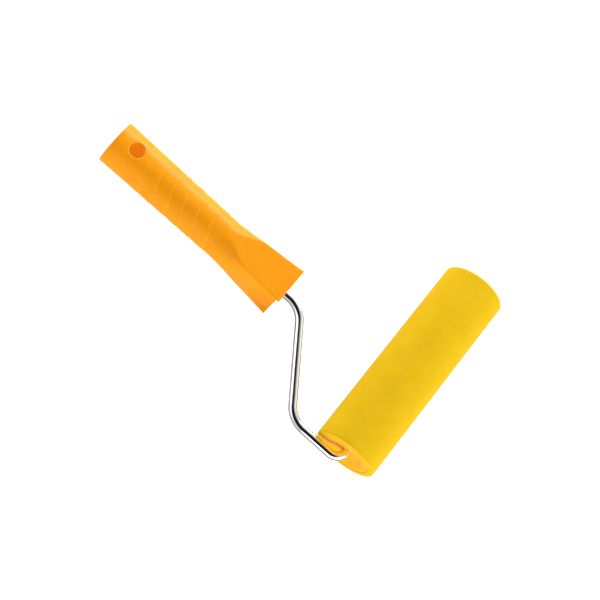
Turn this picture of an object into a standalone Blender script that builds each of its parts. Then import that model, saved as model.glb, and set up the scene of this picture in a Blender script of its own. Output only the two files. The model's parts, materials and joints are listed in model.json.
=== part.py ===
"""Paint roller: a smooth 150 mm sleeve on a bent 6 mm rod with a moulded grip.

Bench frame, in metres: the roller turns about X through the origin, with the end where the
rod enters at +X. The grip points along -Y. The rod lies in the plane z = 0. Everything hangs
under one empty that tilts it, so that the sleeve and the butt of the grip rest on z = 0.
"""

import bmesh
import bpy
import numpy as np
from math import asin, atan2, cos, hypot, pi, radians, sin
from mathutils import Matrix, Vector

# Driving dimensions, in metres
FIT_GAP = 0.0003          # clearance between pieces that touch
OVERRUN = 0.0010          # how far a cutting tool runs past the surface it cuts
TURN_STEPS = 32           # facets around the small turned pieces
SLEEVE_STEPS = 48         # facets around the sleeve, its tube and the caps

SLEEVE_LENGTH = 0.150
SLEEVE_RADIUS = 0.0225
SLEEVE_WALL = 0.0045
SLEEVE_EDGE = 0.0028      # rounding of the sleeve's outer edges
TUBE_WALL = 0.0018

ROD_RADIUS = 0.0030
ROD_SIDES = 12
ROD_END_INSET = 0.0012    # how far the rod's end lies inside the sleeve's far end
END_TAPER = 0.8           # share of the rod's radius left at its two chamfered ends
BEND_STEP = 11            # degrees of bend between two rings of the rod
AXLE_OFFSET = 0.081       # x of the rod's last straight before the axle
AXLE_BEND = 0.0085        # radius of the bend into the axle
GRIP_X = 0.0198           # x of the grip's axis
SWEEP_TOP = -0.0412       # y where the slanting stretch meets the last straight
SWEEP_FOOT = -0.0830      # y where the slanting stretch meets the grip's axis
SWEEP_BEND = 0.0185       # radius of the two bends of the slanting stretch

BORE_RADIUS = ROD_RADIUS + FIT_GAP
BUSH_RADIUS = 0.0052
FLANGE_RADIUS = 0.0070
FLANGE_THICKNESS = 0.0012
BUSH_LENGTH = 0.0080      # length of the bush behind its flange
CAP_FACE = 0.00025        # how far the cap's rim sits inside the sleeve's end
CAP_DISH = 0.00235        # how much deeper its middle is
CAP_PLATE = 0.00325
CAP_INSIDE = 0.0015       # how much deeper the plate's inner face is than its shoulder
CAP_HUB = 0.0065          # length of the hub behind the bush's flange
DISH_KNEE = (0.45, 0.62)  # share of the dish's rise, and of the rim's radius, at its knee
DISH_EDGE = 0.90          # share of the rim's radius where the dish starts
CAP_SPIGOT = 0.0140       # length of the cap inside the tube
CAP_WALL = 0.0020
WELL_RADIUS = 0.0085      # counterbore of the far cap
WELL_DEPTH = 0.0050
WASHER_RADIUS = 0.0068
WASHER_THICKNESS = 0.0008
RING_RADIUS = 0.0066
RING_KNEE = 0.0049        # radius inside which the ring is coned
RING_RISE = 0.0016
RING_THICKNESS = 0.0010

GRIP_FRONT = -0.0978
GRIP_BUTT = -0.2443
BUTT_RADIUS = 0.0156
WAIST_RADIUS = 0.01445
WAIST_Y = -0.1500         # apex of the flat facets
FACET_SHOULDER = 0.0175   # length over which a facet opens out like a V
FACET_APEX_HALF = 0.0008
FACET_SHOULDER_HALF = 0.0102
FRONT_HALF_WIDTH = 0.0140
FRONT_HALF_HEIGHT = 0.0180
FRONT_CORNER = 0.0006     # rounding of the fore end's long corners and of both end faces
GRIP_WALL = 0.0026
STEP_COUNT = 6            # finger steps around the grip
STEP_PITCH = 0.0109
LAST_STEP_Y = -0.1570
STEP_HEIGHT = 0.00028
STEP_BOW = 0.0063         # how far a step line bows towards the butt on +-Z
HOLE_Y = -0.2292
HOLE_RADIUS = 0.0052
SOCKET_END = -0.1760      # inner end of the pole socket
CAVITY_END = -0.1190
BOSS_RADIUS = 0.0062
RIB_THICKNESS = 0.0016
ROD_TAIL = -0.1700        # y of the rod's hidden end
TAIL_RINGS = 18           # rings of the rod over the tail, 1 mm apart
WING_PLACES = (0.0050, 0.0140)  # distance of each swaged wing's middle from the tail
WING_HALF = 0.0040
WING_SPREAD = 0.45        # how much wider a wing is than the rod, and
WING_THINNING = 0.30      # how much thinner
WING_SLOT = (0.0096, 0.0200, 0.0050)
POCKET = (0.0076, 0.0140, 0.0064)
POCKET_PLACE = (0.0050, 0.0104)  # of its middle: behind the fore end, and off the axis
SCOOP_X = 0.0139          # distance of a scoop's middle from the grip's axis
SCOOP_Y = 0.0012          # and in front of the fore end
SCOOP_SEMI_AXES = (0.0089, 0.0206, 0.0168)


# Shared helpers: a piece, a turned solid and a solid skinned over rings

def material(name, colour, roughness, metallic=0.0):
    """Principled material with one colour, roughness and metallic value."""
    made = bpy.data.materials.new(name)
    made.use_nodes = True
    shader = made.node_tree.nodes["Principled BSDF"]
    shader.inputs["Base Color"].default_value = (*colour, 1.0)
    shader.inputs["Roughness"].default_value = roughness
    shader.inputs["Metallic"].default_value = metallic
    return made


def piece(name, shape, parent, finish, sharp_angle=35.0):
    """Turn a bmesh into a named, smooth-shaded object under its parent."""
    bmesh.ops.recalc_face_normals(shape, faces=shape.faces)
    mesh = bpy.data.meshes.new(name)
    shape.to_mesh(mesh)
    shape.free()
    mesh.shade_smooth()
    mesh.set_sharp_from_angle(angle=radians(sharp_angle))
    if finish:
        mesh.materials.append(finish)
    made = bpy.data.objects.new(name, mesh)
    bpy.context.collection.objects.link(made)
    made.parent = parent
    return made


def turned(outline, steps=TURN_STEPS):
    """Spin a closed outline of (x, radius) corners once around the X axis."""
    shape = bmesh.new()
    corners = [shape.verts.new((x, 0.0, radius)) for x, radius in outline]
    edges = [shape.edges.new((a, b)) for a, b in zip(corners, corners[1:] + corners[:1])]
    bmesh.ops.spin(shape, geom=corners + edges, cent=(0, 0, 0), axis=(1, 0, 0),
                   angle=2 * pi, steps=steps, use_merge=True)
    bmesh.ops.remove_doubles(shape, verts=shape.verts, dist=1e-6)
    return shape


def skinned(rings):
    """Close a solid over a row of rings that all have the same number of points."""
    shape = bmesh.new()
    loops = [[shape.verts.new(point) for point in ring] for ring in rings]
    for low, high in zip(loops, loops[1:]):
        for a, b, c, d in zip(low, low[1:] + low[:1], high[1:] + high[:1], high):
            shape.faces.new((a, b, c, d))
    shape.faces.new(loops[0])
    shape.faces.new(loops[-1])
    return shape


def quarter_round(centre_x, centre_r, radius, start, end, count=5):
    """Points of an arc in (x, radius), between two angles in degrees."""
    angles = np.radians(np.linspace(start, end, count))
    return [(centre_x + radius * cos(t), centre_r + radius * sin(t)) for t in angles]


def cutter(name, shape, parent, target, operation="DIFFERENCE"):
    """Apply a hidden tool solid to a target piece through an exact Boolean."""
    tool = piece(name, shape, parent, None)
    tool.hide_render = True
    tool.display_type = "WIRE"
    cut = target.modifiers.new(name, "BOOLEAN")
    cut.operation = operation
    cut.solver = "EXACT"
    cut.object = tool
    return tool


# The roller: sleeve, core tube, two caps and two bushes, all turning together

def make_sleeve(parent, rubber):
    """Soft sleeve with rounded outer edges, open along its bore."""
    half = SLEEVE_LENGTH / 2
    edge = half - SLEEVE_EDGE
    shoulder = SLEEVE_RADIUS - SLEEVE_EDGE
    bore = SLEEVE_RADIUS - SLEEVE_WALL
    outline = [(half, bore)]
    outline += quarter_round(edge, shoulder, SLEEVE_EDGE, 0, 90)
    outline += quarter_round(-edge, shoulder, SLEEVE_EDGE, 90, 180)
    outline += [(-half, bore)]
    return piece("roller_sleeve", turned(outline, SLEEVE_STEPS), parent, rubber)


def make_core_tube(parent, plastic):
    """Rigid tube inside the sleeve, as long as the space between the cap plates."""
    outer = SLEEVE_RADIUS - SLEEVE_WALL - FIT_GAP
    inner = outer - TUBE_WALL
    half = SLEEVE_LENGTH / 2 - CAP_FACE - CAP_PLATE - FIT_GAP
    outline = [(half, outer), (-half, outer), (-half, inner), (half, inner)]
    return piece("core_tube", turned(outline, SLEEVE_STEPS), parent, plastic)


def cap_outline(well_radius, well_depth):
    """Outline of a cap at the +X end: dished plate, hub and a spigot that fits the tube."""
    rim = SLEEVE_RADIUS - SLEEVE_WALL - FIT_GAP
    face = SLEEVE_LENGTH / 2 - CAP_FACE
    middle = face - CAP_DISH
    floor = middle - well_depth
    back = face - CAP_PLATE
    spigot = rim - TUBE_WALL - FIT_GAP
    spigot_end = back - CAP_SPIGOT
    seat = BUSH_RADIUS + FIT_GAP
    hub = well_radius + CAP_WALL
    seat_face = floor - FLANGE_THICKNESS - FIT_GAP
    hub_end = seat_face - CAP_HUB
    inside = back - CAP_INSIDE
    knee_rise, knee_radius = DISH_KNEE
    return [(seat_face, seat), (seat_face, FLANGE_RADIUS + FIT_GAP),
            (floor, FLANGE_RADIUS + FIT_GAP),
            (floor, well_radius), (middle, well_radius),
            (middle + knee_rise * CAP_DISH, knee_radius * rim), (face, DISH_EDGE * rim),
            (face, rim), (back, rim), (back, spigot), (spigot_end, spigot),
            (spigot_end, spigot - CAP_WALL), (inside, spigot - CAP_WALL),
            (inside, hub), (hub_end, hub), (hub_end, seat)]


def make_cap(name, side, well_radius, well_depth, parent, plastic):
    """End cap; side is +1 for the rod's end of the roller and -1 for the far end."""
    outline = [(side * x, r) for x, r in cap_outline(well_radius, well_depth)]
    return piece(name, turned(outline, SLEEVE_STEPS), parent, plastic)


def make_bush(name, side, well_depth, parent, plastic):
    """Flanged bush whose flange lies in the cap's seat."""
    face = SLEEVE_LENGTH / 2 - CAP_FACE - CAP_DISH - well_depth
    back = face - FLANGE_THICKNESS
    end = back - BUSH_LENGTH
    outline = [(face, BORE_RADIUS), (face, FLANGE_RADIUS), (back, FLANGE_RADIUS),
               (back, BUSH_RADIUS), (end, BUSH_RADIUS), (end, BORE_RADIUS)]
    outline = [(side * x, r) for x, r in outline]
    return piece(name, turned(outline), parent, plastic)


# The frame: rod, washers and retaining rings

def rod_path():
    """Centre line of the rod, from its tail in the grip to its end in the far cap."""
    rod_end = -(SLEEVE_LENGTH / 2 - ROD_END_INSET)
    corners = [Vector((GRIP_X, ROD_TAIL, 0)), Vector((GRIP_X, SWEEP_FOOT, 0)),
               Vector((AXLE_OFFSET, SWEEP_TOP, 0)), Vector((AXLE_OFFSET, 0, 0)),
               Vector((rod_end, 0, 0))]
    bends = [SWEEP_BEND, SWEEP_BEND, AXLE_BEND]
    path = [corners[0]]
    for before, corner, after, radius in zip(corners, corners[1:], corners[2:], bends):
        path += bend_points(before, corner, after, radius)
    path.append(corners[-1])
    return path


def bend_points(before, corner, after, radius):
    """Arc of the given radius that is tangent to both straights at a corner."""
    inward = (before - corner).normalized()
    onward = (after - corner).normalized()
    half_angle = inward.angle(onward) / 2
    centre = corner + (inward + onward).normalized() * radius / sin(half_angle)
    start = corner + inward * radius / np.tan(half_angle) - centre
    turn = pi - 2 * half_angle
    hand = 1 if inward.cross(onward).z < 0 else -1
    count = max(4, round(turn / radians(BEND_STEP)))
    steps = [hand * turn * k / count for k in range(count + 1)]
    return [centre + Matrix.Rotation(angle, 3, "Z") @ start for angle in steps]


def make_rod(parent, steel):
    """Bent rod: a round section carried along the path, with two swaged wings in the grip."""
    path = rod_path()
    tail = [Vector((GRIP_X, ROD_TAIL + 0.001 * (step + 1), 0)) for step in range(TAIL_RINGS)]
    path = path[:1] + tail + path[1:]
    rings = []
    for index, point in enumerate(path):
        ahead = path[min(index + 1, len(path) - 1)]
        behind = path[max(index - 1, 0)]
        along = (ahead - behind).normalized()
        across = along.cross(Vector((0, 0, 1)))
        swage = wing_swell(point)
        end_scale = END_TAPER if index in (0, len(path) - 1) else 1.0
        wide = ROD_RADIUS * end_scale * (1 + WING_SPREAD * swage)
        thin = ROD_RADIUS * end_scale * (1 - WING_THINNING * swage)
        angles = [2 * pi * k / ROD_SIDES for k in range(ROD_SIDES)]
        rings.append([point + across * wide * cos(t) + Vector((0, 0, thin * sin(t)))
                      for t in angles])
    return piece("frame_rod", skinned(rings), parent, steel)


def wing_swell(point):
    """1 at the middle of a swaged wing, 0 away from it."""
    nearest = min(abs(point.y - ROD_TAIL - place) for place in WING_PLACES)
    return max(0.0, 1.0 - nearest / WING_HALF)


def make_washer(name, x_low, parent, steel):
    """Plain washer on the axle, from a plane towards +X."""
    x_high = x_low + WASHER_THICKNESS
    outline = [(x_low, BORE_RADIUS), (x_low, WASHER_RADIUS), (x_high, WASHER_RADIUS),
               (x_high, BORE_RADIUS)]
    return piece(name, turned(outline), parent, steel)


def make_star_ring(name, x_flat, side, parent, steel):
    """Push-on ring: flat rim, and a coned middle whose lip bites towards the rod."""
    rise = RING_RISE * side
    body = RING_THICKNESS * side
    outline = [(x_flat + rise, BORE_RADIUS), (x_flat, RING_KNEE), (x_flat, RING_RADIUS),
               (x_flat + body, RING_RADIUS), (x_flat + body, RING_KNEE),
               (x_flat + rise + body, BORE_RADIUS)]
    return piece(name, turned(outline), parent, steel)


# The grip: one moulded shell

def grip_section(y):
    """Half width, half height and facet half width of the grip at a place along Y."""
    if y < WAIST_Y:
        back = (WAIST_Y - y) / (WAIST_Y - GRIP_BUTT)
        radius = WAIST_RADIUS + (BUTT_RADIUS - WAIST_RADIUS) * back ** 1.6
        return radius, radius, FACET_APEX_HALF
    places = [WAIST_Y, WAIST_Y + FACET_SHOULDER, GRIP_FRONT]
    facets = [FACET_APEX_HALF, FACET_SHOULDER_HALF, FRONT_HALF_WIDTH - FRONT_CORNER]
    facet = float(np.interp(y, places, facets))
    part = (y - WAIST_Y) / (GRIP_FRONT - WAIST_Y)
    half_width = WAIST_RADIUS + (FRONT_HALF_WIDTH - WAIST_RADIUS) * part
    half_height = WAIST_RADIUS + (FRONT_HALF_HEIGHT - WAIST_RADIUS) * part
    return half_width, half_height, facet


def grip_ring(y, raised=0.0, bow=0.0, inset=0.0, arc=8):
    """Ring of the grip at y: flat facets on +-Z joined by quarter ellipses on +-X."""
    quarter = []
    for k in range(arc + 1):
        angle = pi / 2 * k / arc
        place = y - bow * sin(angle) ** 3
        half_width, half_height, facet = grip_section(place)
        half_width += raised - inset
        half_height += raised - inset
        facet = max(facet - inset, FACET_APEX_HALF / 2)
        quarter.append((facet + (half_width - facet) * cos(angle), place,
                        half_height * sin(angle)))
    top = (0.0, quarter[-1][1], quarter[-1][2])
    left = [(-x, place, z) for x, place, z in reversed(quarter)]
    upper = quarter + [top] + left
    lower = [(x, place, -z) for x, place, z in reversed(upper)][1:-1]
    return [Vector((x + GRIP_X, place, z)) for x, place, z in upper + lower]


def grip_outer():
    """Outer form of the grip: each finger step swells towards the front, then drops."""
    first = LAST_STEP_Y - (STEP_COUNT - 1) * STEP_PITCH
    rings = [grip_ring(GRIP_BUTT, raised=-FRONT_CORNER), grip_ring(GRIP_BUTT + FRONT_CORNER)]
    rings += [grip_ring(y) for y in (GRIP_BUTT + 0.008, GRIP_BUTT + 0.016)]
    rings.append(grip_ring(first - STEP_PITCH / 2, bow=STEP_BOW / 2))
    for index in range(STEP_COUNT):
        y = first + index * STEP_PITCH
        rings.append(grip_ring(y - STEP_HEIGHT, raised=STEP_HEIGHT, bow=STEP_BOW))
        rings.append(grip_ring(y, bow=STEP_BOW))
    rings += [grip_ring(y) for y in np.linspace(WAIST_Y, GRIP_FRONT - FRONT_CORNER, 13)]
    rings.append(grip_ring(GRIP_FRONT, raised=-FRONT_CORNER))
    return skinned(rings)


def grip_cavity():
    """Hollow of the grip, from behind the butt to the solid fore end."""
    places = np.linspace(GRIP_BUTT - OVERRUN, CAVITY_END, 12)
    return skinned([grip_ring(y, inset=GRIP_WALL, arc=6) for y in places])


def rod_along_y(radius, y_low, y_high, sides=24):
    """Round bar on the grip's axis."""
    shape = bmesh.new()
    middle = Vector((GRIP_X, (y_low + y_high) / 2, 0))
    bmesh.ops.create_cone(shape, cap_ends=True, segments=sides, radius1=radius,
                          radius2=radius, depth=y_high - y_low,
                          matrix=Matrix.Translation(middle) @ Matrix.Rotation(pi / 2, 4, "X"))
    return shape


def block(centre, size):
    """Box with the given centre and full size."""
    shape = bmesh.new()
    scale = Matrix.Diagonal((*size, 1.0))
    bmesh.ops.create_cube(shape, size=1.0, matrix=Matrix.Translation(centre) @ scale)
    return shape


def make_handle(parent, plastic):
    """Grip shell: outer form, hollow, rod boss on four ribs, scoops, bore and hanging hole."""
    shell = piece("handle_shell", grip_outer(), parent, plastic, 28.0)
    cutter("cut_cavity", grip_cavity(), parent, shell)

    rib_end = CAVITY_END + OVERRUN
    rib_length = rib_end - SOCKET_END
    rib_middle = Vector((GRIP_X, SOCKET_END + rib_length / 2, 0))
    rib_span = 2 * (WAIST_RADIUS - GRIP_WALL / 2)
    cutter("add_boss", rod_along_y(BOSS_RADIUS, SOCKET_END, rib_end), parent, shell, "UNION")
    cutter("add_rib_flat", block(rib_middle, (rib_span, rib_length, RIB_THICKNESS)), parent,
           shell, "UNION")
    cutter("add_rib_upright", block(rib_middle, (RIB_THICKNESS, rib_length, rib_span)), parent,
           shell, "UNION")
    for side in (-1, 1):
        scoop = bmesh.new()
        bmesh.ops.create_uvsphere(scoop, u_segments=28, v_segments=16, radius=1.0)
        place = Vector((GRIP_X + side * SCOOP_X, GRIP_FRONT + SCOOP_Y, 0))
        bmesh.ops.transform(scoop, verts=scoop.verts,
                            matrix=Matrix.Translation(place)
                            @ Matrix.Diagonal((*SCOOP_SEMI_AXES, 1.0)))
        cutter("cut_scoop", scoop, parent, shell)
    cutter("cut_rod_bore", rod_along_y(BORE_RADIUS + FIT_GAP / 3, ROD_TAIL - OVERRUN,
                                       GRIP_FRONT + OVERRUN), parent, shell)
    wing_middle = Vector((GRIP_X, ROD_TAIL - OVERRUN + WING_SLOT[1] / 2, 0))
    cutter("cut_wing_slot", block(wing_middle, WING_SLOT), parent, shell)
    behind, off_axis = POCKET_PLACE
    for side in (-1, 1):
        middle = Vector((GRIP_X, GRIP_FRONT - behind, side * off_axis))
        cutter("cut_front_pocket", block(middle, POCKET), parent, shell)
    hole = bmesh.new()
    bmesh.ops.create_cone(hole, cap_ends=True, segments=32, radius1=HOLE_RADIUS,
                          radius2=HOLE_RADIUS, depth=4 * BUTT_RADIUS,
                          matrix=Matrix.Translation((GRIP_X, HOLE_Y, 0)))
    cutter("cut_hanging_hole", hole, parent, shell)
    return shell


def rest_tilt():
    """Turn about X that brings the butt's lower edge down to the sleeve's lowest line."""
    rim = GRIP_BUTT + FRONT_CORNER
    return asin(SLEEVE_RADIUS / hypot(rim, BUTT_RADIUS)) - atan2(BUTT_RADIUS, -rim)


def build():
    """Make every piece under one tilted empty whose origin is the roller's axis."""
    for old in list(bpy.data.objects):
        bpy.data.objects.remove(old)

    rubber = material("yellow_rubber", (0.95, 0.62, 0.01), 0.42)
    cap_plastic = material("amber_moulded_cap", (1.0, 0.44, 0.015), 0.35)
    grip_plastic = material("orange_polypropylene", (0.98, 0.33, 0.01), 0.33)
    tube_plastic = material("grey_polypropylene", (0.55, 0.55, 0.53), 0.55)
    bush_plastic = material("amber_acetal", (0.98, 0.46, 0.04), 0.35)
    chrome = material("chromed_steel", (0.80, 0.80, 0.80), 0.07, 1.0)
    spring_steel = material("spring_steel", (0.42, 0.42, 0.43), 0.30, 1.0)

    pose = bpy.data.objects.new("roller_axis", None)
    bpy.context.collection.objects.link(pose)
    left_reach = SLEEVE_LENGTH / 2
    right_reach = AXLE_OFFSET + ROD_RADIUS
    pose.rotation_euler.x = rest_tilt()
    front = SLEEVE_RADIUS
    butt_top = hypot(GRIP_BUTT, BUTT_RADIUS)
    back = butt_top * cos(atan2(BUTT_RADIUS, -GRIP_BUTT) - rest_tilt())
    pose.location = ((left_reach - right_reach) / 2, (back - front) / 2, SLEEVE_RADIUS)

    make_sleeve(pose, rubber)
    make_core_tube(pose, tube_plastic)
    make_cap("near_end_cap", 1, FLANGE_RADIUS + FIT_GAP + 0.0001, 0.0, pose, cap_plastic)
    make_cap("far_end_cap", -1, WELL_RADIUS, WELL_DEPTH, pose, cap_plastic)
    make_bush("near_bush", 1, 0.0, pose, bush_plastic)
    make_bush("far_bush", -1, WELL_DEPTH, pose, bush_plastic)

    make_rod(pose, chrome)
    outer_face = -(SLEEVE_LENGTH / 2 - CAP_FACE - CAP_DISH - WELL_DEPTH)
    outer_washer = outer_face - FIT_GAP
    make_washer("outer_thrust_washer", outer_washer - WASHER_THICKNESS, pose, spring_steel)
    make_star_ring("outer_retaining_ring", outer_washer - WASHER_THICKNESS - FIT_GAP, -1,
                   pose, spring_steel)
    inner_washer = outer_face + FLANGE_THICKNESS + BUSH_LENGTH + FIT_GAP
    make_washer("inner_thrust_washer", inner_washer, pose, spring_steel)
    make_star_ring("inner_retaining_ring", inner_washer + WASHER_THICKNESS + FIT_GAP, 1,
                   pose, spring_steel)
    make_handle(pose, grip_plastic)


build()
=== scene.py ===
"""Paint roller: smooth yellow sleeve on a bent chromed rod with an orange moulded grip.

Shapes are worked out on a bench frame in millimetres: the roller turns about X through the
origin, the rod lies in the plane z = 0 and the grip points along -Y. The function placed()
tips that bench frame the way the tool rests, and moves it to the roller's axle, in metres.
"""

import json

import bpy
import numpy as np
from mathutils import Matrix, Vector


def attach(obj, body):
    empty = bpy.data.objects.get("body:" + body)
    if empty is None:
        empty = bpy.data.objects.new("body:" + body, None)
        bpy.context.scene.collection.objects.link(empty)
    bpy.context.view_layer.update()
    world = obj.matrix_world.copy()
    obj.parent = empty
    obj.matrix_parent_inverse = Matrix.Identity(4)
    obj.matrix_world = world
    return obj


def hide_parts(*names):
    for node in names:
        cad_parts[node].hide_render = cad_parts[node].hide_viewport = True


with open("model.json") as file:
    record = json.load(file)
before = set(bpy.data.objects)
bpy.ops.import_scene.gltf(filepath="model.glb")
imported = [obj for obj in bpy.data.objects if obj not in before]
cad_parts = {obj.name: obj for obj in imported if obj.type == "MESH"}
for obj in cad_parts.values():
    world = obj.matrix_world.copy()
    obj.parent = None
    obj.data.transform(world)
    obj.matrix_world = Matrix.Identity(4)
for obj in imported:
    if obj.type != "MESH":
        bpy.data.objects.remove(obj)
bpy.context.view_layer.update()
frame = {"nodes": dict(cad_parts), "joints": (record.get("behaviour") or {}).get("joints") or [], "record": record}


# ------------------------------------------------------------------ core tube
# A grey tube of extruded polypropylene, pressed over the spigots of both end caps, that
# carries the sleeve. It is closed in on all sides, so the CAD node stays and gets a finish.


def linear(code):
    """Linear RGBA of an sRGB hex colour, by sRGB's own curve: a short line, then a power."""
    share = np.array([int(code[place:place + 2], 16) for place in (1, 3, 5)]) / 255
    light = np.where(share <= 0.04045, share / 12.92, ((share + 0.055) / 1.055) ** 2.4)
    return (*light.tolist(), 1.0)


def add_node(tree, kind, inputs, **settings):
    """Adds a shader node. An input is set to a value, or linked to another node's output."""
    node = tree.nodes.new("ShaderNode" + kind)
    for name, value in settings.items():
        setattr(node, name, value)
    for socket, value in inputs.items():
        if isinstance(value, bpy.types.NodeSocket):
            tree.links.new(value, node.inputs[socket])
        else:
            node.inputs[socket].default_value = value
    return node


def finish_of(name, **constants):
    """A material with its node tree, its Principled shader and the object's own coordinates."""
    made = bpy.data.materials.new(name)
    made.use_nodes = True
    tree = made.node_tree
    shader = tree.nodes["Principled BSDF"]
    for socket, value in constants.items():
        shader.inputs[socket.replace("_", " ")].default_value = value
    place = add_node(tree, "TexCoord", {}).outputs["Object"]
    return made, tree, shader, place


def mottle(tree, place, spacing_mm, low, high, detail=3.0):
    """Noise with one blotch about every spacing_mm, brought to the range low to high.

    The raw noise seldom leaves 0.3 to 0.7, so that span is spread out and clamped.
    """
    noise = add_node(tree, "TexNoise", {"Vector": place, "Scale": 1000 / spacing_mm,
                                        "Detail": detail, "Roughness": 0.55})
    spread = add_node(tree, "MapRange", {"Value": noise.outputs["Fac"], "From Min": 0.3,
                                         "From Max": 0.7, "To Min": low, "To Max": high})
    return spread.outputs["Result"]


def two_tones(tree, share, first, second):
    """Colour between two sRGB hex colours, by a share from 0 to 1."""
    blend = add_node(tree, "Mix", {0: share, 6: linear(first), 7: linear(second)},
                     data_type="RGBA")
    return blend.outputs[2]


# Extruded PP: dull, slightly waxy, with long die lines along the tube every 0.8 mm or so.
tube_polypropylene, tree, shader, place = finish_of("grey_extruded_polypropylene",
                                                    Roughness=0.55, IOR=1.49)
along = add_node(tree, "Mapping", {"Vector": place, "Scale": (0.02, 1, 1)}).outputs["Vector"]
tree.links.new(two_tones(tree, mottle(tree, place, 9, 0, 1), "#B9B9B4", "#A6A6A2"),
               shader.inputs["Base Color"])
lines = add_node(tree, "Bump", {"Height": mottle(tree, along, 0.8, 0, 1), "Strength": 0.3,
                                "Distance": 0.00004})
tree.links.new(lines.outputs["Normal"], shader.inputs["Normal"])
frame["nodes"]["core_tube"].data.materials.clear()
frame["nodes"]["core_tube"].data.materials.append(tube_polypropylene)


# --------------------------------------------------------------------- sleeve
# The sleeve is a moulded tube of soft yellow rubber, ground smooth on a lathe and drawn over
# the core tube. Grinding leaves a satin face; both outer edges are rounded off by hand.

axle = np.array(frame["joints"][0]["pos_m"])
butt_axis = next(mount["axis"] for mount in frame["record"]["mounts"]
                 if mount["name"] == "butt_rim")
tilt = np.arctan2(-butt_axis[2], -butt_axis[1])


def turned_by_tilt(vectors):
    """Vectors of the bench frame turned about X by the tool's tilt."""
    x, y, z = np.moveaxis(np.asarray(vectors, float), -1, 0)
    return np.stack([x, y * np.cos(tilt) - z * np.sin(tilt),
                     y * np.sin(tilt) + z * np.cos(tilt)], -1)


def placed(points_mm):
    """Points of the bench frame in millimetres, tipped and moved to the axle, in metres."""
    return turned_by_tilt(points_mm) / 1000 + axle


def skin(name, rings, joined=False):
    """Object over rings of points with shape (rings, around, 3), in bench millimetres.

    Each ring closes on itself and is joined to the next. The last ring is joined to the
    first where joined is true; otherwise the two end rings are filled with one face each.
    """
    count, around = rings.shape[:2]
    points = placed(rings).reshape(-1, 3)
    row = np.arange(count if joined else count - 1)[:, None] + np.zeros((1, around), int)
    column = np.arange(around)[None, :] + np.zeros_like(row)
    ahead, beside = (row + 1) % count, (column + 1) % around
    quads = np.stack([row * around + column, row * around + beside,
                      ahead * around + beside, ahead * around + column], -1).reshape(-1, 4)
    a, b, c, d = (points[quads[:, corner]] for corner in range(4))
    volume = (a * (np.cross(b, c) + np.cross(c, d))).sum()
    faces = quads.tolist()
    if not joined:
        faces += [list(range(around))[::-1], list(range((count - 1) * around, count * around))]
    if volume < 0:
        faces = [face[::-1] for face in faces]
    mesh = bpy.data.meshes.new(name)
    mesh.from_pydata(points.tolist(), [], faces)
    mesh.shade_smooth()
    made = bpy.data.objects.new(name, mesh)
    bpy.context.collection.objects.link(made)
    return made


ARC_SHARE = 0.31     # largest share of a side that the arc at one of its ends may take
GUARD_PLACE = 1.5    # distance of the extra points from the corner, over that of the arc


def eased(corners, radii, steps=7):
    """Closed outline with each corner swapped for a tangent arc of its own radius.

    The arc's centre lies on the corner's bisector, radius / sin(half angle) away, and its
    points swing about it: (sin((1 - s) w) start + sin(s w) end) / sin w, for a sweep of w. One
    more point on each straight, half as far again from the corner, keeps the straights flat.
    """
    corner = np.asarray(corners, float)
    before = np.roll(corner, 1, 0) - corner
    after = np.roll(corner, -1, 0) - corner
    reach = np.minimum(np.linalg.norm(before, axis=1), np.linalg.norm(after, axis=1))
    before /= np.linalg.norm(before, axis=1)[:, None]
    after /= np.linalg.norm(after, axis=1)[:, None]
    half = np.arccos(np.clip((before * after).sum(1), -1, 1)) / 2
    length = np.minimum(np.asarray(radii, float) / np.tan(half), ARC_SHARE * reach)[:, None]
    half = half[:, None]
    bisector = (before + after) / np.linalg.norm(before + after, axis=1)[:, None]
    centre = corner + bisector * length / np.cos(half)
    sweep = (np.pi - 2 * half)[..., None]
    share = np.linspace(0, 1, steps)[None, :, None]
    start = (corner + before * length - centre)[:, None]
    end = (corner + after * length - centre)[:, None]
    arc = (np.sin((1 - share) * sweep) * start + np.sin(share * sweep) * end) / np.sin(sweep)
    points = np.concatenate([(corner + before * length * GUARD_PLACE)[:, None],
                             centre[:, None] + arc,
                             (corner + after * length * GUARD_PLACE)[:, None]], 1)
    return points.reshape(-1, 2)


def turned(name, outline, steps=144):
    """Ring-shaped solid: a closed outline of (x, radius) carried once round the axle.

    A point is (x, radius cos t, radius sin t) for t from 0 to a full turn.
    """
    x, radius = np.asarray(outline, float).T
    t = np.linspace(0, 2 * np.pi, steps, endpoint=False)[:, None]
    rings = np.stack([x + 0 * t, radius * np.cos(t), radius * np.sin(t)], -1)
    return skin(name, rings, joined=True)


SLEEVE_HALF = 75.0
SLEEVE_RADIUS = 22.5
SLEEVE_BORE = 18.0
SLEEVE_EDGE = 2.8
SLEEVE_BORE_EDGE = 0.12

sleeve = turned("rubber_sleeve",
                eased([(SLEEVE_HALF, SLEEVE_BORE), (SLEEVE_HALF, SLEEVE_RADIUS),
                       (-SLEEVE_HALF, SLEEVE_RADIUS), (-SLEEVE_HALF, SLEEVE_BORE)],
                      [SLEEVE_BORE_EDGE, SLEEVE_EDGE, SLEEVE_EDGE, SLEEVE_BORE_EDGE], steps=12),
                steps=192)

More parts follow.
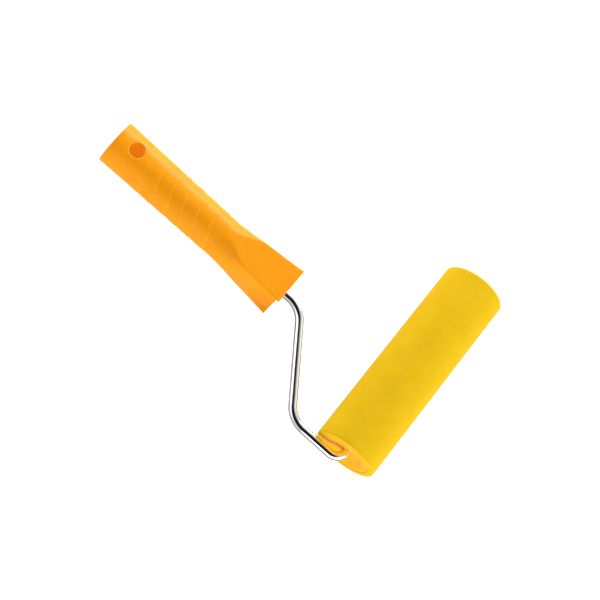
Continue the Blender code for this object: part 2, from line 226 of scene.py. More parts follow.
# Ground rubber: saturated yellow right through, satin, with faint lathe marks round the
# sleeve every 0.6 mm and a cloudy tone some 14 mm across from the mixed-in pigment.
sleeve_rubber, tree, shader, place = finish_of("yellow_ground_rubber", IOR=1.52,
                                               Specular_IOR_Level=0.02)
clouds = mottle(tree, place, 14, 0, 1)
tree.links.new(two_tones(tree, clouds, "#DBB218", "#D5AC14"), shader.inputs["Base Color"])
tree.links.new(mottle(tree, place, 3, 0.5, 0.62), shader.inputs["Roughness"])
around = add_node(tree, "Mapping", {"Vector": place, "Scale": (1, 0.03, 0.03)})
lathe_marks = mottle(tree, around.outputs["Vector"], 0.6, 0, 1, detail=1.0)
marks = add_node(tree, "Bump", {"Height": lathe_marks, "Strength": 0.12, "Distance": 0.00003})
grain = add_node(tree, "Bump", {"Height": mottle(tree, place, 0.5, 0, 1), "Strength": 0.15,
                                "Distance": 0.00003, "Normal": marks.outputs["Normal"]})
tree.links.new(grain.outputs["Normal"], shader.inputs["Normal"])
sleeve.data.materials.append(sleeve_rubber)
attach(sleeve, "roller")
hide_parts("roller_sleeve")


# ------------------------------------------------------------------- end caps
# Each end of the tube is closed by a cap of amber polypropylene, moulded in one shot: a
# dished plate a hair inside the sleeve's end, a spigot inside the tube, a hub for the bush.

GAP = 0.3                 # between pieces that fit loosely
RIM_GAP = 0.06            # round the cap's rim
HUB_GAP = 0.04            # round the bush
WELL_STEP = 0.02          # how much wider than the bush's seat the near cap's middle is
TUBE_WALL = 1.8
CAP_RIM = SLEEVE_BORE - RIM_GAP
CAP_FACE = 74.75
CAP_DISH = 2.35
CAP_PLATE = 3.25
CAP_INSIDE = 1.5          # how much deeper the plate is than its shoulder
CAP_SPIGOT = 14.0
CAP_HUB = 6.5             # length of the hub behind the bush's flange
CAP_WALL = 2.0
CAP_EDGE = 0.2
CAP_FINE_EDGE = 0.08
LAND_INNER = 0.88 * CAP_RIM
DISH_POINTS = 12
BUSH_RADIUS = 5.2
FLANGE_RADIUS = 7.0
FLANGE_THICKNESS = 1.2
FAR_WELL = 5.0
FAR_WELL_RADIUS = 8.5
CAP_WELLS = {"near": (FLANGE_RADIUS + HUB_GAP + WELL_STEP, 0.0),
             "far": (FAR_WELL_RADIUS, FAR_WELL)}


def cap_outline(well_radius, well_depth):
    """Cap at the +X end: land, dish falling as half a cosine wave to the well, hub, spigot."""
    middle = CAP_FACE - CAP_DISH
    floor = middle - well_depth
    seat = floor - FLANGE_THICKNESS - HUB_GAP
    back = CAP_FACE - CAP_PLATE
    spigot = SLEEVE_BORE - TUBE_WALL - 2 * GAP
    hub = well_radius + CAP_WALL
    inside = back - CAP_INSIDE
    end = seat - CAP_HUB
    share = np.linspace(0, 1, DISH_POINTS)[1:-1]
    dish = np.stack([middle + CAP_DISH * (1 - np.cos(np.pi * share)) / 2,
                     well_radius + (LAND_INNER - well_radius) * share], 1)
    well = [(seat, BUSH_RADIUS + HUB_GAP), (seat, FLANGE_RADIUS + HUB_GAP),
            (floor, FLANGE_RADIUS + HUB_GAP), (floor, well_radius)]
    well += [(middle, well_radius)] if well_depth else []
    rest = [(CAP_FACE, LAND_INNER), (CAP_FACE, CAP_RIM), (back, CAP_RIM), (back, spigot),
            (back - CAP_SPIGOT, spigot), (back - CAP_SPIGOT, spigot - CAP_WALL),
            (inside, spigot - CAP_WALL), (inside, hub), (end, hub),
            (end, BUSH_RADIUS + HUB_GAP)]
    edges = [CAP_FINE_EDGE] * len(well) + [CAP_EDGE] * (len(dish) + len(rest))
    return eased(well + dish.tolist() + rest, edges, steps=5)


# Moulded PP: translucent amber, semi-gloss, a hint of orange-peel from the mould every 1.5 mm.
cap_polypropylene, tree, shader, place = finish_of(
    "amber_moulded_polypropylene", IOR=1.49, Specular_IOR_Level=0.12,
    Subsurface_Weight=0.15, Subsurface_Radius=(1.0, 0.45, 0.1), Subsurface_Scale=0.0015)
tree.links.new(two_tones(tree, mottle(tree, place, 6, 0, 1), "#FFB218", "#FCAB12"),
               shader.inputs["Base Color"])
tree.links.new(mottle(tree, place, 2, 0.24, 0.34), shader.inputs["Roughness"])
peel = add_node(tree, "Bump", {"Height": mottle(tree, place, 1.5, 0, 1, detail=1.0),
                               "Strength": 0.12, "Distance": 0.00004})
tree.links.new(peel.outputs["Normal"], shader.inputs["Normal"])

for end, side in (("near", 1), ("far", -1)):
    cap = turned(f"{end}_cap", cap_outline(*CAP_WELLS[end]) * (side, 1))
    cap.data.materials.append(cap_polypropylene)
    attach(cap, "roller")
    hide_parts(f"{end}_end_cap")


# --------------------------------------------------------------------- bushes
# A flanged bush of amber acetal sits in each cap's hub and turns on the rod. It is turned
# from bar, so its flange is flat, with finely eased edges and shallow tool marks.

BUSH_BORE = 3.1
BUSH_LENGTH = 8.0
BUSH_EDGE = 0.08
TOOL_MARK_SCALE = 100.0   # a ring every 3 mm or so: the period is 2 pi / (20 scale) metres

# Acetal: dense, slippery, a little duller than the caps, with rings left by the lathe tool.
bush_acetal, tree, shader, place = finish_of("amber_turned_acetal", IOR=1.48,
                                             Specular_IOR_Level=0.12)
tree.links.new(two_tones(tree, mottle(tree, place, 4, 0, 1), "#FFAE16", "#F8A510"),
               shader.inputs["Base Color"])
tree.links.new(mottle(tree, place, 1, 0.32, 0.44), shader.inputs["Roughness"])
centred = add_node(tree, "Mapping", {"Vector": place, "Location": tuple(-axle)})
rings_of_tool = add_node(tree, "TexWave", {"Vector": centred.outputs["Vector"],
                                           "Scale": TOOL_MARK_SCALE},
                         wave_type="RINGS", rings_direction="X")
turned_face = add_node(tree, "Bump", {"Height": rings_of_tool.outputs["Fac"],
                                      "Strength": 0.2, "Distance": 0.00003})
tree.links.new(turned_face.outputs["Normal"], shader.inputs["Normal"])

for end, side in (("near", 1), ("far", -1)):
    face = CAP_FACE - CAP_DISH - CAP_WELLS[end][1]
    back = face - FLANGE_THICKNESS
    corners = [(face, BUSH_BORE), (face, FLANGE_RADIUS), (back, FLANGE_RADIUS),
               (back, BUSH_RADIUS), (back - BUSH_LENGTH, BUSH_RADIUS),
               (back - BUSH_LENGTH, BUSH_BORE)]
    bush = turned(f"{end}_flanged_bush", eased(corners, BUSH_EDGE, steps=4) * (side, 1), 96)
    bush.data.materials.append(bush_acetal)
    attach(bush, "roller")
    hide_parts(f"{end}_bush")


# ------------------------------------------------------------------------ rod
# The frame is one length of 6 mm drawn steel wire, bent cold in three places and then bright
# chromed. Two swaged wings near its tail keep it from turning or pulling out of the grip.

ROD_RADIUS = 3.0
GRIP_X = 19.8
ROD_TAIL = -170.0
ROD_END = -73.8
ROD_EDGE = 0.6
END_RINGS = (0.0, 0.1, 0.25, 0.45)   # places of the rings that round an end, over ROD_EDGE
WINGS = (5.0, 14.0)       # distance of each swaged wing's middle from the tail
WING_HALF = 4.0
WING_SPREAD = 0.45        # how much wider a wing is than the rod, and
WING_THINNING = 0.30      # how much thinner
ROUTE = [(GRIP_X, ROD_TAIL), (GRIP_X, -83.0), (81.0, -41.2), (81.0, 0.0), (ROD_END, 0.0)]
BENDS = [18.5, 18.5, 8.5]


def rod_line(spacing=0.6):
    """Points of the rod's centre line at even steps: straights joined by tangent arcs.

    The tangent turns at the rate 1 / radius inside a bend and not at all outside it, so the
    line is the running sum of steps along its own heading.
    """
    corner = np.array(ROUTE)
    leg = np.diff(corner, axis=0)
    length = np.linalg.norm(leg, axis=1)
    heading = np.unwrap(np.arctan2(leg[:, 1], leg[:, 0]))
    turn = np.diff(heading)
    cut = np.array(BENDS) * np.tan(np.abs(turn) / 2)
    straight = length - np.append(cut, 0) - np.insert(cut, 0, 0)
    arc = np.array(BENDS) * np.abs(turn)
    knots = np.cumsum(np.insert(np.ravel(np.column_stack([straight, np.append(arc, 0)])), 0, 0))
    angles = np.append(np.repeat(heading, 2), heading[-1])
    count = int(round(knots[-2] / spacing)) + 1
    at = np.linspace(0, knots[-2], count)
    along = np.interp(at, knots[:-1], angles[:-1])
    middle = np.interp((at[1:] + at[:-1]) / 2, knots[:-1], angles[:-1])
    step = np.diff(at)[:, None] * np.stack([np.cos(middle), np.sin(middle)], 1)
    line = corner[0] + np.vstack([[0, 0], np.cumsum(step, 0)])
    return at, line, along


def rod_rings(sides=40):
    """Round section carried along the rod's line; swaged wings wider and thinner by a hump.

    At distance s a ring point is line + cos t * wide * sideways + sin t * thin * upwards.
    """
    at, line, along = rod_line()
    total = at[-1]
    ends = np.array(END_RINGS) * ROD_EDGE
    between = at[(at > ROD_EDGE) & (at < total - ROD_EDGE)]
    at_all = np.concatenate([ends, between, total - ends[::-1]])
    x = np.interp(at_all, at, line[:, 0])
    y = np.interp(at_all, at, line[:, 1])
    heading = np.interp(at_all, at, along)
    inside = np.clip(np.minimum(at_all, total - at_all) / ROD_EDGE, 0, 1)
    rounded = ROD_RADIUS - ROD_EDGE * (1 - np.sqrt(1 - (1 - inside) ** 2))
    nearest = np.min(np.abs(at_all[:, None] - np.array(WINGS)), axis=1)
    hump = np.cos(np.pi / 2 * np.clip(nearest / WING_HALF, 0, 1)) ** 2
    wide = rounded * (1 + WING_SPREAD * hump)
    thin = rounded * (1 - WING_THINNING * hump)
    t = np.linspace(0, 2 * np.pi, sides, endpoint=False)
    out = wide[:, None] * np.cos(t)
    return np.stack([x[:, None] - out * np.sin(heading)[:, None],
                     y[:, None] + out * np.cos(heading)[:, None],
                     thin[:, None] * np.sin(t)], -1)


rod = skin("chromed_rod", rod_rings())

# Bright chrome over drawn steel: near mirror, cool grey, with roughness that drifts a little
# every 5 mm and a faint ripple along the wire from drawing, about 4 mm long.
chrome, tree, shader, place = finish_of("bright_chrome_on_steel", Metallic=1.0)
tree.links.new(two_tones(tree, mottle(tree, place, 8, 0, 1), "#F2F3F5", "#E9EAED"),
               shader.inputs["Base Color"])
tree.links.new(mottle(tree, place, 5, 0.045, 0.085), shader.inputs["Roughness"])
ripple = add_node(tree, "Bump", {"Height": mottle(tree, place, 4, 0, 1, detail=0.0),
                                 "Strength": 0.08, "Distance": 0.00006})
tree.links.new(ripple.outputs["Normal"], shader.inputs["Normal"])
rod.data.materials.append(chrome)
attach(rod, "frame")
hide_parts("frame_rod")


# ----------------------------------------------------- washers and push-on rings
# The roller is kept on the rod at its far end: a plain thrust washer on each side of the far
# bush and a push-on ring of spring steel behind each. The ring's coned teeth bite the wire.

WASHER_RADIUS = 6.8
WASHER_THICKNESS = 0.8
RING_RADIUS = 6.6
RING_KNEE = 4.9
RING_THICKNESS = 1.0
RING_RISE = 1.6
RING_TEETH = 6
NOTCH_RADIUS = 4.4
TOOTH_LEVEL = 1.7         # the higher, the broader the teeth
TOOTH_STEEPNESS = 2.5     # the higher, the straighter their sides
RING_SHARES = (0, 0.03, 0.25, 0.45, 0.6, 0.8, 0.96, 1)   # points from the bore to the rim
STAMPED_EDGE = 0.15

# Stamped spring steel: grey, oiled, brushed by the strip rolling, slightly blued.
spring_steel, tree, shader, place = finish_of("oiled_spring_steel", Metallic=1.0)
tree.links.new(two_tones(tree, mottle(tree, place, 3, 0, 1), "#A9ABAF", "#8F9196"),
               shader.inputs["Base Color"])
tree.links.new(mottle(tree, place, 1.2, 0.22, 0.38), shader.inputs["Roughness"])
rolled = add_node(tree, "Mapping", {"Vector": place, "Scale": (1, 1, 0.05)})
strip = add_node(tree, "Bump", {"Height": mottle(tree, rolled.outputs["Vector"], 0.4, 0, 1),
                                "Strength": 0.2, "Distance": 0.00002})
tree.links.new(strip.outputs["Normal"], shader.inputs["Normal"])


def push_on_ring(name, flat, side, steps=192):
    """Toothed ring: flat rim, coned middle, inner edge stepping in and out between teeth.

    The inner edge swings between the notch radius and the rod as a steep sine, clipped at
    both, once for each tooth. The cone lifts a point in proportion to its depth past the knee.
    """
    t = np.linspace(0, 2 * np.pi, steps, endpoint=False)[:, None]
    tooth = np.clip(TOOTH_LEVEL + TOOTH_STEEPNESS * np.sin(RING_TEETH * t), 0, 1)
    inner = NOTCH_RADIUS + (BUSH_BORE - NOTCH_RADIUS) * tooth
    share = np.array(RING_SHARES)
    radius = inner + (RING_RADIUS - inner) * share
    cone = RING_RISE * np.clip((RING_KNEE - radius) / (RING_KNEE - BUSH_BORE), 0, 1)
    edge = STAMPED_EDGE * ((share == 0) | (share == 1)) + 0 * t
    low = np.stack([cone + edge, radius], -1)
    high = np.stack([cone + RING_THICKNESS - edge, radius], -1)[:, ::-1]
    x, r = np.moveaxis(np.concatenate([low, high], 1), -1, 0)
    rings = np.stack([flat + side * x, r * np.cos(t), r * np.sin(t)], -1)
    return skin(name, rings, joined=True)


bush_face = -(CAP_FACE - CAP_DISH - FAR_WELL)
bush_end = bush_face + FLANGE_THICKNESS + BUSH_LENGTH
for spot, touching, side in (("outer", bush_face, -1), ("inner", bush_end, 1)):
    near_face = touching + side * GAP
    far_face = near_face + side * WASHER_THICKNESS
    washer = turned(f"{spot}_washer",
                    eased([(near_face, BUSH_BORE), (near_face, WASHER_RADIUS),
                           (far_face, WASHER_RADIUS), (far_face, BUSH_BORE)],
                          STAMPED_EDGE, steps=4), 96)
    ring = push_on_ring(f"{spot}_push_on_ring", far_face + side * GAP, side)
    for part, node in ((washer, "thrust_washer"), (ring, "retaining_ring")):
        part.data.materials.append(spring_steel)
        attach(part, "frame")
        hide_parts(f"{spot}_{node}")


# ----------------------------------------------------------------------- grip
# The grip is one hollow shell of orange polypropylene. Its round back has six finger steps;
# its fore end flares to two flat faces with a thumb scoop on each side. The butt is open
# for an extension pole, and a hole through both walls hangs it on a nail.

GRIP_FRONT = -97.8
GRIP_BUTT = -244.3
BUTT_RADIUS = 15.6
WAIST_RADIUS = 14.45
WAIST_Y = -150.0
BACK_SWELL = 1.6          # power of the swell from the waist to the butt
FRONT_HALF_WIDTH = 14.0
FRONT_HALF_HEIGHT = 18.0
FLARE_SQUARENESS = 0.4    # how far the section's power rises above an ellipse's 2
FLARE_LENGTH = 28.0       # length over which it rises and falls back
FACE_APEX = -149.1
FACE_FLARE = 0.64
FACE_FRONT = 13.9
FACE_TAPER = 0.082
FACE_EASE = 2.5
CREASE_ROUNDING = (0.3, 1.8)
CREASE_SPAN = (-145, -108)
GRIP_WALL = 2.6
CAVITY_END = -119.0
STEP_COUNT = 6
STEP_PITCH = 10.9
LAST_STEP = -157.0
STEP_HEIGHT = 0.28
STEP_CLIMB = 0.93         # share of the pitch that a step rises over, and
STEP_DROP = 0.07          # falls over
FIRST_STEP_SHARE = 0.6    # height of the step next to the butt, over the others'
STEP_BOW = 6.3            # how far a step line bows towards the butt on +-Z
BOW_START = (GRIP_BUTT + 4, GRIP_BUTT + 28)
BOW_END = (LAST_STEP, -132)
SCOOP_START = -121.0
SCOOP_CENTRE = (13.9, -96.6)
SCOOP_HALF = (8.9, 20.6, 16.8)
SCOOP_ROUNDING = 0.9
SCOOP_LIFT = 40.0         # slope that takes the scoop's surface away outside its outline
BUTT_ROUNDING = 0.6
FRONT_ROUNDING = 0.35
EDGE_STEPS = 6            # points over the rounding of an end's edge
SHARP_ANGLE = 32          # degrees between faces from which their edge is shaded sharp
TINY = 1e-6               # keeps a division by zero away


def smoothly(value, low, high):
    """0 below low, 1 above high and a smooth S between them: s * s * (3 - 2 s)."""
    share = np.clip((value - low) / (high - low), 0, 1)
    return share * share * (3 - 2 * share)


def soft_least(first, second, width):
    """The smaller of two values, blended by a parabola where they differ by under width."""
    near = np.clip(width - np.abs(first - second), 0, None) / width
    return np.minimum(first, second) - width * near ** 2 / 4


def face_half_width(y):
    """Half width of a flat face: a V that opens from its apex, eased into a slow taper."""
    opening = FACE_FLARE * np.clip(y - FACE_APEX, 0, None)
    return soft_least(opening, FACE_FRONT + FACE_TAPER * (y - GRIP_FRONT), FACE_EASE)


def grip_radius(t, y):
    """Distance from the grip's axis to its surface at angle t from +X and place y.

    The back is round and swells towards the butt. In front of the waist the section is
    |x / w|^n + |z / H|^n = 1, with n between 2 and 2.4, cut by the flat faces at height h.
    H is chosen so that the curve meets the flat at the crease's half width.
    """
    fore = np.clip((y - WAIST_Y) / (GRIP_FRONT - WAIST_Y), 0, 1)
    aft = np.clip((WAIST_Y - y) / (WAIST_Y - GRIP_BUTT), 0, 1)
    round_back = WAIST_RADIUS + (BUTT_RADIUS - WAIST_RADIUS) * aft ** BACK_SWELL
    width = round_back + (FRONT_HALF_WIDTH - WAIST_RADIUS) * fore
    height = round_back + (FRONT_HALF_HEIGHT - WAIST_RADIUS) * fore
    crease = face_half_width(y)
    hump = np.sin(np.pi * np.clip((y - WAIST_Y) / FLARE_LENGTH, 0, 1)) ** 2
    power = 2 + FLARE_SQUARENESS * hump
    tall = height / (1 - (crease / width) ** power) ** (1 / power)
    c, s = np.abs(np.cos(t)), np.abs(np.sin(t))
    curved = ((c / width) ** power + (s / tall) ** power) ** (-1 / power)
    flat = height / np.maximum(s, TINY)
    rounding = CREASE_ROUNDING[0] + np.diff(CREASE_ROUNDING) * smoothly(y, *CREASE_SPAN)
    cut = soft_least(curved, flat, rounding)
    return np.where(y > WAIST_Y, cut, curved)


def step_rise(v):
    """How far a finger step stands out: a slow rise to each step line, then a short drop.

    Behind the first step line it rises over half a pitch, to a lower height.
    """
    first = LAST_STEP - (STEP_COUNT - 1) * STEP_PITCH
    ahead = (first - v) / STEP_PITCH
    share = 1 - (ahead - np.floor(ahead))
    share = np.where(v < first, np.clip(1 - 2 * ahead, 0, 1), share)
    rise = np.minimum(share / STEP_CLIMB, (1 - share) / STEP_DROP)
    rise = rise * np.where(v < first, FIRST_STEP_SHARE, 1)
    return STEP_HEIGHT * np.clip(np.where(v > LAST_STEP, 0, rise), 0, 1)


def grip_point(t, v, inset=0.0, stepped=True):
    """Surface point at angle t and row v. Rows bow back on the flats as |sin t| cubed.

    Each scoop is an ellipsoid taken off the side. It keeps |x| below its centre's x less
    a sqrt(1 - (y / b)^2 - (z / c)^2), with half axes a, b, c and y counted from its centre.
    """
    bow = STEP_BOW * smoothly(v, *BOW_START) * (1 - smoothly(v, *BOW_END))
    y = v - bow * np.abs(np.sin(t)) ** 3 + 0 * t
    radius = grip_radius(t, y) - inset + (step_rise(v) if stepped else 0)
    x, z = radius * np.cos(t), radius * np.sin(t)
    ahead = ((y - SCOOP_CENTRE[1]) / SCOOP_HALF[1]) ** 2 + (z / SCOOP_HALF[2]) ** 2
    hollow = SCOOP_CENTRE[0] - SCOOP_HALF[0] * np.sqrt(np.clip(1 - ahead, 0, 1))
    hollow = hollow + SCOOP_LIFT * np.clip(np.sqrt(ahead) - 1, 0, None)
    scooped = np.sign(x) * soft_least(np.abs(x), hollow, SCOOP_ROUNDING)
    x = np.where((y > SCOOP_START) & stepped, scooped, x)
    return np.stack([x + GRIP_X, y, z], -1)


CREASE_CROWD = 0.08       # half the angle, in radians, over which points are crowded
CREASE_LIMIT = 76         # highest place of the crowded points, in degrees from +X
SIDE_SPREAD = 1.4         # power by which a side's points thin out away from the crease
QUARTER_POINTS = (37, 13, 9)   # points over the side, the crease and the flat of a quarter


def angles_round(v):
    """Angles of a ring's points: crowded at the creases, which move round with the flats."""
    height = WAIST_RADIUS + (FRONT_HALF_HEIGHT - WAIST_RADIUS) * np.clip(
        (v - WAIST_Y) / (GRIP_FRONT - WAIST_Y), 0, 1)
    crease = np.arctan2(height, face_half_width(v))
    crease = np.minimum(crease, np.radians(CREASE_LIMIT))
    low, high = crease - CREASE_CROWD, crease + CREASE_CROWD
    side, corner, flat = (np.linspace(0, 1, count)[:-1] for count in QUARTER_POINTS)
    quarter = np.concatenate([low * (1 - (1 - side) ** SIDE_SPREAD),
                              low + 2 * CREASE_CROWD * corner,
                              high + (np.pi / 2 - high) * flat], 1)
    half = np.concatenate([quarter, np.full_like(v, np.pi / 2), np.pi - quarter[:, :0:-1]], 1)
    return np.concatenate([half, half + np.pi], 1)


# Rows of points along the grip, close together over each step's drop and over the fore end.
ROWS_PER_STEP = (-0.9, -0.75, -0.6, -0.45, -0.3, -0.15, -0.09, -0.07, -0.05, -0.025, 0, 0.02,
                 0.05)    # in step pitches from the step's line
BUTT_ROWS_END = -224
WAIST_ROWS = (-156, -122)
FORE_ROWS_START = -121.6

lip_y = GRIP_BUTT + BUTT_ROUNDING
step_lines = LAST_STEP - STEP_PITCH * np.arange(STEP_COUNT)
step_rows = step_lines[:, None] + STEP_PITCH * np.array(ROWS_PER_STEP)
inner_rows = np.linspace(CAVITY_END, lip_y, 40)
outer_rows = np.concatenate([np.linspace(lip_y, BUTT_ROWS_END, 14)[1:],
                             np.sort(step_rows.ravel()), np.linspace(*WAIST_ROWS, 60),
                             np.linspace(FORE_ROWS_START, GRIP_FRONT - FRONT_ROUNDING, 84)])
turn_in = np.radians(np.linspace(90, 0, EDGE_STEPS))
butt_in = BUTT_ROUNDING * (1 - np.cos(turn_in))

inner = inner_rows[:, None]
lip = np.full((EDGE_STEPS, 1), lip_y)
outer = outer_rows[:, None]
wall = grip_point(angles_round(inner), inner, GRIP_WALL, stepped=False)
inner_lip = grip_point(angles_round(lip), lip, (GRIP_WALL - butt_in[::-1])[:, None], False)
inner_lip[..., 1] -= (BUTT_ROUNDING * np.sin(turn_in[::-1]))[:, None]
outer_lip = grip_point(angles_round(lip), lip, butt_in[:, None], False)
outer_lip[..., 1] -= (BUTT_ROUNDING * np.sin(turn_in))[:, None]
body = grip_point(angles_round(outer), outer)

front = body[-1]
tangent = np.roll(front, -1, 0) - np.roll(front, 1, 0)
outward = np.stack([tangent[:, 2], 0 * tangent[:, 1], -tangent[:, 0]], 1)
outward /= np.linalg.norm(outward, axis=1)[:, None]
bend = np.radians(np.linspace(15, 90, EDGE_STEPS))[:, None, None]
nose = front + FRONT_ROUNDING * (np.sin(bend) * np.array([0, 1, 0])
                                 - (1 - np.cos(bend)) * outward)
grip = skin("grip_shell", np.concatenate([wall, inner_lip[1:], outer_lip[:-1], body, nose]))
inside_faces = np.arange(len(grip.data.polygons)) < (len(wall) - 1) * wall.shape[1]


def tube_along_y(name, radius, y_low, y_high, sides=48):
    """Plain bar on the grip's axis, for adding to the grip or cutting from it."""
    t = np.linspace(0, 2 * np.pi, sides, endpoint=False)
    y = np.array([[y_low], [y_high]])
    return skin(name, np.stack([GRIP_X + radius * np.cos(t) + 0 * y, y + 0 * t,
                                radius * np.sin(t) + 0 * y], -1))


def bar_along_y(name, centre, width, height, y_low, y_high, power=8, sides=32):
    """Bar with a rounded-rectangle section |2x / width|^p + |2z / height|^p = 1."""
    t = np.linspace(0, 2 * np.pi, sides, endpoint=False) + np.pi / sides
    c, s = np.cos(t), np.sin(t)
    radius = (np.abs(c) ** power + np.abs(s) ** power) ** (-1 / power)
    y = np.array([[y_low], [y_high]])
    return skin(name, np.stack([centre[0] + width / 2 * radius * c + 0 * y, y + 0 * t,
                                centre[1] + height / 2 * radius * s + 0 * y], -1))


HOLE_Y = -229.2
HOLE_RADIUS = 5.2
HOLE_ROUNDING = 1.1
HOLE_MARGIN = 1.5         # how much wider than the rounding the bar is, outside the grip
HOLE_LIFT = 0.5           # how far that wider part starts above the grip's surface
HOLE_SINK = 0.01          # the rounding lies this much higher, so that the surfaces cross
BAR_TOP = 20.0


def hanging_hole(name, sides=96):
    """Bar along Z that flares where it leaves the grip, so that the hole's rim is rounded.

    On a ring of radius q the bar's edge lies below the grip's round surface, z = sqrt(R^2 -
    x^2), by a quarter circle's drop, which runs out where q reaches the hole plus rounding.
    """
    t = np.linspace(0, 2 * np.pi, sides, endpoint=False)
    lean = np.radians(np.linspace(90, 0, 9))
    q = np.concatenate([[HOLE_RADIUS + HOLE_ROUNDING + HOLE_MARGIN] * 2,
                        HOLE_RADIUS + HOLE_ROUNDING * (1 - np.cos(lean))])[:, None]
    drop = np.concatenate([[0, -HOLE_LIFT],
                           HOLE_ROUNDING * (1 - np.sin(lean)) - HOLE_SINK])[:, None]
    x, y = q * np.cos(t), HOLE_Y + q * np.sin(t)
    surface = np.sqrt(grip_radius(np.pi / 2 + 0 * y, y) ** 2 - x ** 2)
    z = np.where(np.arange(len(q))[:, None] == 0, BAR_TOP, surface - drop)
    upper = np.stack([x + GRIP_X, y, z], -1)
    return skin(name, np.concatenate([upper, (upper * (1, 1, -1))[::-1]]))


OVERRUN = 1.0             # how far a bar runs past the surface it joins or cuts
SOCKET_END = -176.0
BOSS_RADIUS = 6.2
RIB = 1.6
RIB_SPAN = 2 * (WAIST_RADIUS - GRIP_WALL / 2)
ROD_BORE = 3.4
WING_SLOT = (9.6, 5.0)
WING_SLOT_LENGTH = 19.0
POCKET = (7.6, 6.4)
POCKET_DEPTH = 12.0
POCKET_Z = 10.4

middle = (GRIP_X, 0)
rib_end = CAVITY_END + OVERRUN
bore_start = ROD_TAIL - OVERRUN
past_front = GRIP_FRONT + 2 * OVERRUN
tools = [(tube_along_y("boss", BOSS_RADIUS, SOCKET_END, rib_end), "UNION"),
         (bar_along_y("flat_rib", middle, RIB_SPAN, RIB, SOCKET_END, rib_end), "UNION"),
         (bar_along_y("upright_rib", middle, RIB, RIB_SPAN, SOCKET_END, rib_end), "UNION"),
         (tube_along_y("rod_bore", ROD_BORE, bore_start, past_front), "DIFFERENCE"),
         (bar_along_y("wing_slot", middle, *WING_SLOT, bore_start,
                      ROD_TAIL + WING_SLOT_LENGTH), "DIFFERENCE"),
         (hanging_hole("hanging_hole"), "DIFFERENCE")]
for side in (-1, 1):
    pocket = bar_along_y("front_pocket", (GRIP_X, side * POCKET_Z), *POCKET,
                         GRIP_FRONT - POCKET_DEPTH, past_front)
    tools.append((pocket, "DIFFERENCE"))

# Moulded PP in bright orange: semi-gloss, lets a little light in, with flow marks some 20 mm
# long and a fine mould texture that is drawn at 0.7 mm so that it shows.
grip_polypropylene, tree, shader, place = finish_of(
    "orange_moulded_polypropylene", IOR=1.49, Specular_IOR_Level=0.12,
    Subsurface_Weight=0.35, Subsurface_Radius=(1.0, 0.4, 0.05), Subsurface_Scale=0.004)
flow = add_node(tree, "Mapping", {"Vector": place, "Scale": (1, 0.35, 1)})
tree.links.new(two_tones(tree, mottle(tree, flow.outputs["Vector"], 7, 0, 1),
                         "#F29C14", "#EE9610"), shader.inputs["Base Color"])
tree.links.new(mottle(tree, place, 2, 0.27, 0.36), shader.inputs["Roughness"])
texture = add_node(tree, "Bump", {"Height": mottle(tree, place, 0.7, 0, 1),
                                  "Strength": 0.15, "Distance": 0.00003})
tree.links.new(texture.outputs["Normal"], shader.inputs["Normal"])
# The same PP on the faces inside the hollow grip: unpolished and rougher, its colour painted paler and more
# translucent to stand in for light bounced round the orange cavity.
inside_polypropylene_painted_light, tree, shader, place = finish_of(
    "unpolished_polypropylene_painted_bounce_light", IOR=1.49, Specular_IOR_Level=0.1,
    Subsurface_Weight=0.7, Subsurface_Radius=(1.0, 0.45, 0.1), Subsurface_Scale=0.005)
tree.links.new(two_tones(tree, mottle(tree, place, 5, 0, 1), "#FFC22E", "#FFBC28"),
               shader.inputs["Base Color"])
tree.links.new(mottle(tree, place, 1.5, 0.45, 0.6), shader.inputs["Roughness"])

# Each bar brings the inside's paler finish, painted bounce light, to the faces it leaves, except the hanging
# hole's.
for piece in [grip] + [tool for tool, _ in tools]:
    piece.data.materials.append(grip_polypropylene)
    piece.data.materials.append(inside_polypropylene_painted_light)
    pale = inside_faces if piece == grip else np.full(len(piece.data.polygons),
                                                      piece.name != "hanging_hole")
    piece.data.polygons.foreach_set("material_index", pale.astype(np.int32))
for tool, operation in tools:
    cut = grip.modifiers.new(tool.name, "BOOLEAN")
    cut.operation, cut.object, cut.solver = operation, tool, "EXACT"
shaped = bpy.data.meshes.new_from_object(grip.evaluated_get(
    bpy.context.evaluated_depsgraph_get()))
grip.modifiers.clear()
grip.data = shaped
grip.data.shade_smooth()
grip.data.set_sharp_from_angle(angle=np.radians(SHARP_ANGLE))
for tool, _ in tools:
    bpy.data.objects.remove(tool)

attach(grip, "frame")
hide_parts("handle_shell")


# ------------------------------------------------------ table, camera and light
# The tool lies on white acrylic lit from behind, in a tent of white cloth that is brightest
# towards +-Y. The lens looks in through a dark round opening. Two low soft boxes stand inside
# the cloth: the key light beyond the roller's far end, and a weaker fill across from it.

# The lens in bench millimetres, with the directions of its three axes.
LENS_AT = (372.4, -174.5, 908.8)
LENS_RIGHT = (-0.59807, 0.74059, 0.30633)
LENS_UP = (-0.71415, -0.66593, 0.21569)
LENS_BACK = (0.36373, -0.08976, 0.92717)
LENS_MM = 89.8
SENSOR_MM = 36

camera = bpy.data.objects.new("camera", bpy.data.cameras.new("camera"))
bpy.context.collection.objects.link(camera)
camera.data.lens = LENS_MM
camera.data.sensor_width = SENSOR_MM
camera.data.clip_start, camera.data.clip_end = 0.01, 100
turn = Matrix(turned_by_tilt([LENS_RIGHT, LENS_UP, LENS_BACK]).T.tolist()).to_4x4()
camera.matrix_world = Matrix.Translation(placed(LENS_AT).tolist()) @ turn
bpy.context.scene.camera = camera
bpy.context.scene.view_settings.view_transform = "Standard"

OPENING_INNER, OPENING_OUTER = np.cos(np.radians([31, 41])).tolist()
OPENING_GLOW = 0.03
CLOTH_BY_AXIS = (0.8, 2.2, 0.32)

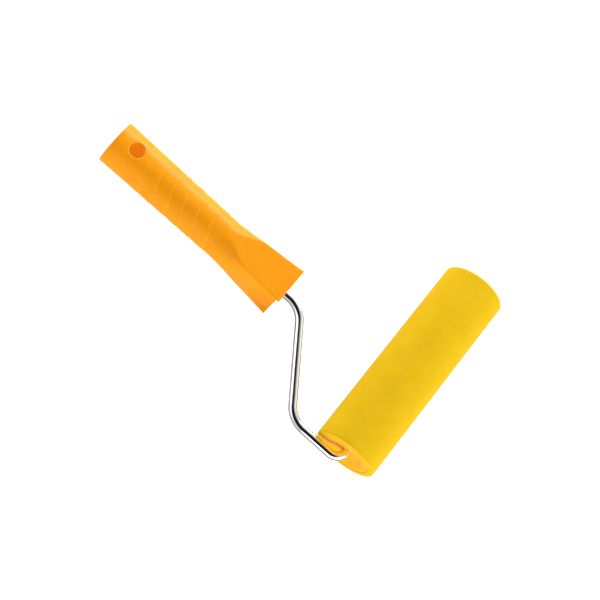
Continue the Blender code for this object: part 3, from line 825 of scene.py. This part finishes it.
# White cloth: its radiance is the direction's squared x, y and z, each times its own strength.
world = bpy.data.worlds.new("white_tent")
bpy.context.scene.world = world
world.use_nodes = True
tree = world.node_tree
direction = add_node(tree, "TexCoord", {}).outputs["Generated"]
lens_direction = tuple(turned_by_tilt(LENS_BACK).tolist())
towards_lens = add_node(tree, "VectorMath", {0: direction, 1: lens_direction},
                        operation="DOT_PRODUCT").outputs["Value"]
opened = add_node(tree, "MapRange", {"Value": towards_lens, "From Min": OPENING_OUTER,
                                     "From Max": OPENING_INNER, "To Min": 1.0,
                                     "To Max": OPENING_GLOW},
                  interpolation_type="SMOOTHSTEP").outputs["Result"]
squares = add_node(tree, "VectorMath", {0: direction, 1: direction}, operation="MULTIPLY")
cloth = add_node(tree, "VectorMath", {0: squares.outputs["Vector"], 1: CLOTH_BY_AXIS},
                 operation="DOT_PRODUCT").outputs["Value"]
strength = add_node(tree, "Math", {0: cloth, 1: opened}, operation="MULTIPLY").outputs["Value"]
tree.links.new(strength, tree.nodes["Background"].inputs["Strength"])
tree.nodes["Background"].inputs["Color"].default_value = linear("#FFFFFF")


def soft_box(name, towards, distance, width, height, radiance):
    """Flat light that faces the tool from a direction; its power is pi radiance area."""
    light = bpy.data.lights.new(name, "AREA")
    light.shape, light.size, light.size_y = "RECTANGLE", width, height
    light.energy = radiance * np.pi * width * height
    made = bpy.data.objects.new(name, light)
    aim = Vector(towards).normalized()
    made.matrix_world = (Matrix.Translation(aim * distance)
                         @ aim.to_track_quat("Z", "Y").to_matrix().to_4x4())
    bpy.context.collection.objects.link(made)


soft_box("key_soft_box", towards=(-0.91, -0.05, 0.40), distance=1.1, width=1.06, height=0.53,
         radiance=8.0)
soft_box("fill_soft_box", towards=(0.75, 0.62, 0.21), distance=1.2, width=1.25, height=0.51,
         radiance=4.2)

TABLE_REACH = 6.0
GLOW_ON_TOOL = 0.65

table_mesh = bpy.data.meshes.new("white_sweep")
table_mesh.from_pydata([(-TABLE_REACH, -TABLE_REACH, 0), (TABLE_REACH, -TABLE_REACH, 0),
                        (TABLE_REACH, TABLE_REACH, 0), (-TABLE_REACH, TABLE_REACH, 0)],
                       [], [(0, 1, 2, 3)])
table = bpy.data.objects.new("white_sweep", table_mesh)
bpy.context.collection.objects.link(table)

# Matt white acrylic lit from behind: seen plain white, it sends less light back to the tool.
acrylic, tree, shader, place = finish_of("backlit_white_acrylic", Roughness=0.9,
                                         Specular_IOR_Level=0.0)
shader.inputs["Base Color"].default_value = linear("#B4B4B4")
shader.inputs["Emission Color"].default_value = linear("#FFFFFF")
rays = add_node(tree, "LightPath", {}).outputs
glow = add_node(tree, "Math", {0: rays["Is Diffuse Ray"], 1: GLOW_ON_TOOL,
                               2: rays["Is Camera Ray"]}, operation="MULTIPLY_ADD")
tree.links.new(glow.outputs["Value"], shader.inputs["Emission Strength"])
table_mesh.materials.append(acrylic)
